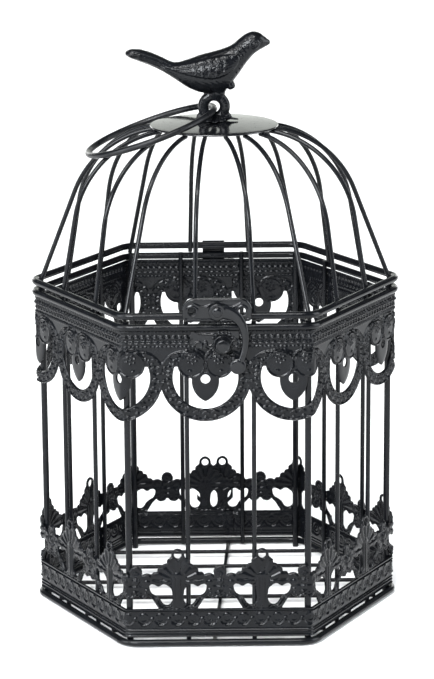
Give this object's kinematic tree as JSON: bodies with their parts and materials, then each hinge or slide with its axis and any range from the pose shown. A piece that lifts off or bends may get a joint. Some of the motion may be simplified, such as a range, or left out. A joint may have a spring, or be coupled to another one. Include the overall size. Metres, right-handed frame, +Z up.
{
  "type": "wedding card box",
  "caption": "Hexagonal wire birdcage card box for a wedding table, with stamped lace bands, a hinged wire dome lid, a swing hook latch, a bird finial and a loose ring handle.",
  "frame": {"origin": "centre of the base ring on the table", "axes": "+Z up, -Y towards the side with the latch, +X to the right seen from the latch"},
  "size_m": [0.1602, 0.1457, 0.2542],
  "materials": {
    "wire_paint": "gloss",
    "lace_paint": "semi-gloss",
    "cast_paint": "gloss",
    "cap_paint": "high gloss",
    "hardware_paint": "gloss",
    "handle_paint": "satin"
  },
  "bodies": {
    "cage_body": {"base_ring": "wire_paint", "floor_centre_wire": "wire_paint", "floor_wire_1": "wire_paint", "floor_wire_2": "wire_paint", "floor_wire_3": "wire_paint", "floor_wire_4": "wire_paint", "floor_wire_5": "wire_paint", "floor_wire_6": "wire_paint", "body_ring": "wire_paint", "corner_post_1": "wire_paint", "corner_post_2": "wire_paint", "corner_post_3": "wire_paint", "corner_post_4": "wire_paint", "corner_post_5": "wire_paint", "corner_post_6": "wire_paint", "side_bar_1": "wire_paint", "side_bar_2": "wire_paint", "side_bar_3": "wire_paint", "side_bar_4": "wire_paint", "side_bar_5": "wire_paint", "side_bar_6": "wire_paint", "side_bar_7": "wire_paint", "side_bar_8": "wire_paint", "side_bar_9": "wire_paint", "side_bar_10": "wire_paint", "side_bar_11": "wire_paint", "side_bar_12": "wire_paint", "upper_lace_band": "lace_paint", "lower_lace_band": "lace_paint", "hinge_strap": "hardware_paint", "catch_plate": "hardware_paint", "catch_stud": "hardware_paint"},
    "lid": {"lid_ring": "wire_paint", "dome_rib_1": "wire_paint", "dome_rib_2": "wire_paint", "dome_rib_3": "wire_paint", "dome_rib_4": "wire_paint", "dome_rib_5": "wire_paint", "dome_rib_6": "wire_paint", "dome_rib_7": "wire_paint", "dome_rib_8": "wire_paint", "dome_rib_9": "wire_paint", "dome_rib_10": "wire_paint", "dome_rib_11": "wire_paint", "dome_rib_12": "wire_paint", "dome_rib_13": "wire_paint", "dome_rib_14": "wire_paint", "dome_rib_15": "wire_paint", "dome_rib_16": "wire_paint", "dome_rib_17": "wire_paint", "dome_rib_18": "wire_paint", "dome_cap": "cap_paint", "bird_finial": "cast_paint", "finial_nut": "hardware_paint", "latch_plate": "hardware_paint", "latch_rivet": "hardware_paint"},
    "hook": {"latch_hook": "hardware_paint"},
    "handle": {"handle_ring": "handle_paint"}
  },
  "joints": [
    {"name": "lid_open", "type": "hinge", "parent": "cage_body", "child": "lid", "pos_m": [0, 0.06928, 0.1452], "axis": [-1, 0, 0], "range_deg": [0, 180]},
    {"name": "hook_swing", "type": "hinge", "parent": "lid", "child": "hook", "pos_m": [0, -0.0724, 0.1477], "axis": [0, -1, 0], "range_deg": [-8, 100]},
    {"name": "handle_swing", "type": "hinge", "parent": "lid", "child": "handle", "pos_m": [0, 0, 0.22049], "axis": [0, 1, 0], "range_deg": [0, 217]}
  ]
}
